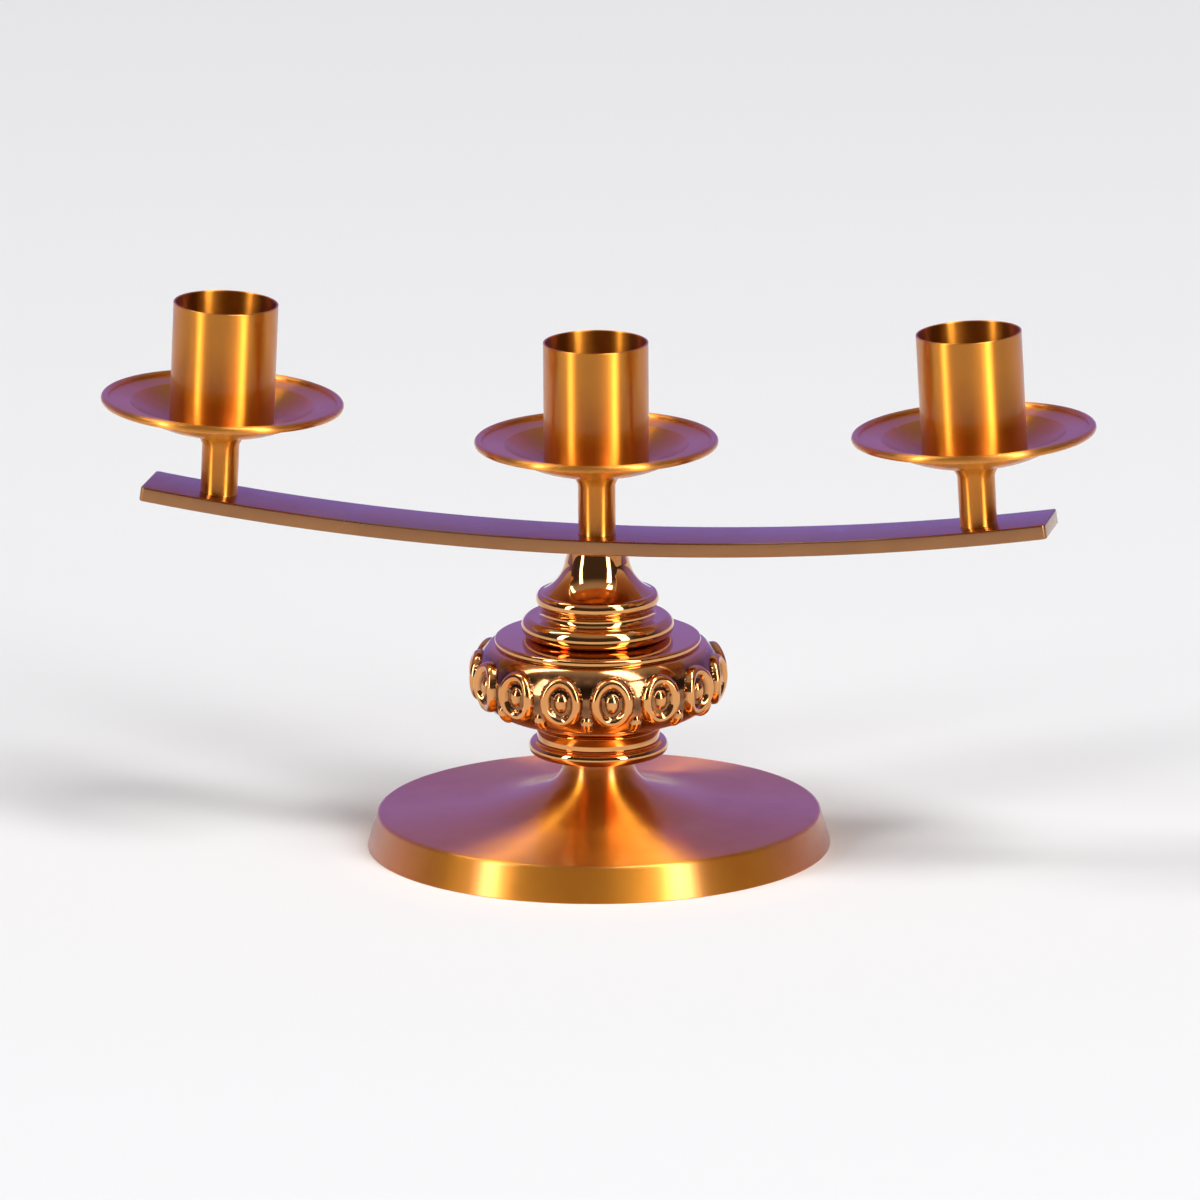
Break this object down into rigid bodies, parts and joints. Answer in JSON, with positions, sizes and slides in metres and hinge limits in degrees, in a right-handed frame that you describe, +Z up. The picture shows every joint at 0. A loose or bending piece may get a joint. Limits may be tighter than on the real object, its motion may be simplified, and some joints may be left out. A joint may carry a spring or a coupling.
{
  "type": "altar candelabra",
  "caption": "Brass altar candelabra: a round foot, a turned column with an ornamented knop, and a curved bar that carries candle cups standing in drip pans.",
  "frame": {"origin": "middle of the foot's underside, on the surface it stands on", "axes": "+X along the arm to the viewer's right, +Y towards the back, +Z up"},
  "size_m": [0.386, 0.178, 0.2086],
  "materials": {
    "satin_brass": "lacquered satin brass",
    "polished_brass": "polished brass",
    "brass_fittings": "plain turned brass",
    "plain_steel": "zinc-plated steel"
  },
  "bodies": {
    "stand": {"base_shell": "satin_brass", "base_washer": "plain_steel", "base_nut": "plain_steel", "tie_rod": "plain_steel", "neck_ring": "polished_brass", "knop_seat": "polished_brass", "knop_band": "polished_brass", "knop_cap": "polished_brass", "roll_ring": "polished_brass", "column_bell": "polished_brass", "swivel_washer": "brass_fittings", "center_post": "satin_brass", "center_drip_pan": "satin_brass"},
    "arm": {"arm_bar": "satin_brass", "post_screws": "brass_fittings", "left_post": "satin_brass", "right_post": "satin_brass", "left_drip_pan": "satin_brass", "right_drip_pan": "satin_brass"},
    "left_washer": {"left_cup_washer": "brass_fittings"},
    "left_cup": {"left_candle_cup": "satin_brass", "left_cup_stud": "brass_fittings"},
    "center_washer": {"center_cup_washer": "brass_fittings"},
    "center_cup": {"center_candle_cup": "satin_brass", "center_cup_stud": "brass_fittings"},
    "right_washer": {"right_cup_washer": "brass_fittings"},
    "right_cup": {"right_candle_cup": "satin_brass", "right_cup_stud": "brass_fittings"}
  },
  "joints": [
    {"name": "arm_swivel", "type": "hinge", "parent": "stand", "child": "arm", "pos_m": [0, 0, 0.12293], "axis": [0, 0, 1], "continuous": true},
    {"name": "left_cup_lift", "type": "slide", "parent": "arm", "child": "left_washer", "axis": [0.0506, 0, 0.9987], "range_m": [0, 0.006]},
    {"name": "left_cup_turn", "type": "hinge", "parent": "left_washer", "child": "left_cup", "pos_m": [-0.14678, 0, 0.16072], "axis": [0.0506, 0, 0.9987], "range_deg": [0, 2160]},
    {"name": "center_cup_lift", "type": "slide", "parent": "stand", "child": "center_washer", "axis": [0, 0, 1], "range_m": [0, 0.006]},
    {"name": "center_cup_turn", "type": "hinge", "parent": "center_washer", "child": "center_cup", "pos_m": [0, 0, 0.15097], "axis": [0, 0, 1], "range_deg": [0, 2160]},
    {"name": "right_cup_lift", "type": "slide", "parent": "arm", "child": "right_washer", "axis": [-0.0506, 0, 0.9987], "range_m": [0, 0.006]},
    {"name": "right_cup_turn", "type": "hinge", "parent": "right_washer", "child": "right_cup", "pos_m": [0.14678, 0, 0.16072], "axis": [-0.0506, 0, 0.9987], "range_deg": [0, 2160]}
  ],
  "couplings": [
    {"joint": "left_cup_lift", "follows": "left_cup_turn", "m_per_rad": 0.00015915},
    {"joint": "center_cup_lift", "follows": "center_cup_turn", "m_per_rad": 0.00015915},
    {"joint": "right_cup_lift", "follows": "right_cup_turn", "m_per_rad": 0.00015915}
  ]
}
